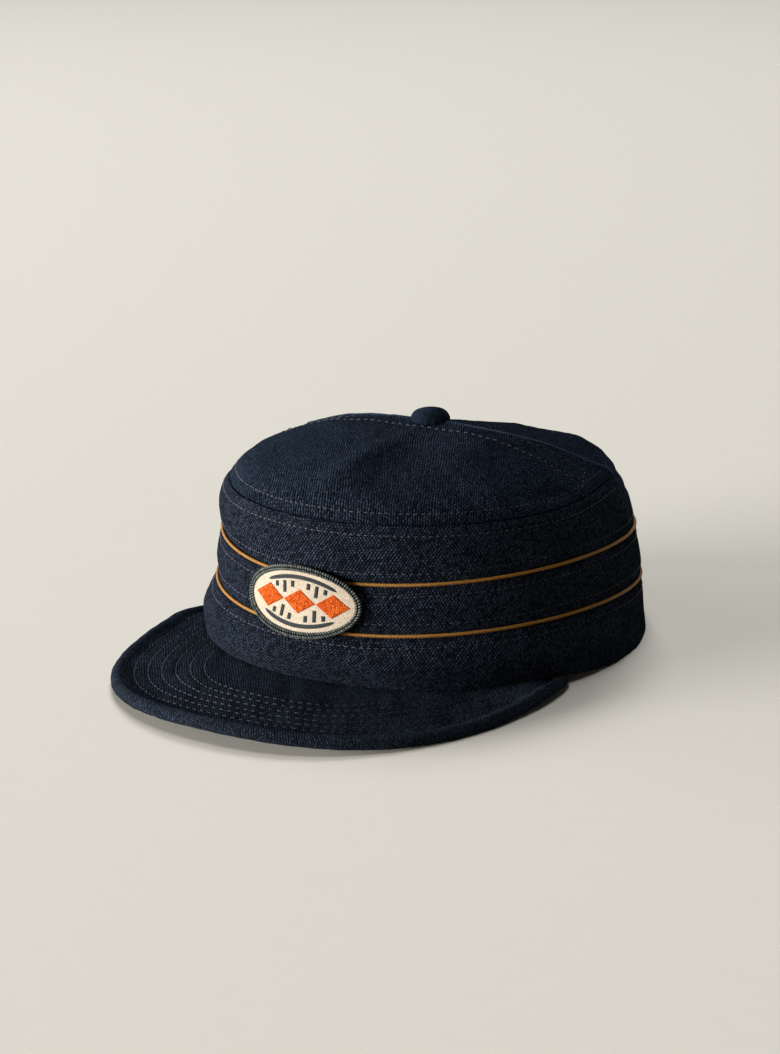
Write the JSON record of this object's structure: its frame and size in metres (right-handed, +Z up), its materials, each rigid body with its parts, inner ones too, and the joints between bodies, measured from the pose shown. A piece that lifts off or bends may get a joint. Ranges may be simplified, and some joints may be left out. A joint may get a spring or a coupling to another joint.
{
  "type": "painter cap",
  "caption": "Soft painter cap: banded cloth crown with a low domed top and cloth button, two gold piping cords, an oval badge and a short curved stitched visor with a rolled edge.",
  "frame": {"origin": "middle of the footprint of the cap's box, on the surface that the cap rests on", "axes": "+Z up; the visor points to -Y; +X to the wearer's left"},
  "size_m": [0.185, 0.2674, 0.0963],
  "materials": {
    "navy_cloth": "dark navy fine twill, matte with a faint bluish bloom",
    "visor_cloth": "dark navy fine twill over a stiff visor board, matte, quilted by curved stitch rows",
    "binding_cloth": "dark navy twill rolled over the visor's edge, matte and slightly fuzzy",
    "gold_cord": "tan gold woven piping cord, fine cross ribs",
    "badge_cloth": "cream twill with embroidered orange lozenges and dark bars",
    "badge_thread": "dark grey-green overlocked thread border, ribbed"
  },
  "bodies": {
    "root": {"crown_top_front": "navy_cloth", "crown_back": "navy_cloth", "front_band": "navy_cloth", "middle_band": "navy_cloth", "lower_band": "navy_cloth", "upper_cord": "gold_cord", "lower_cord": "gold_cord", "top_button": "navy_cloth", "visor": "visor_cloth", "visor_binding": "binding_cloth", "badge": "badge_cloth", "badge_border": "badge_thread"}
  },
  "joints": []
}
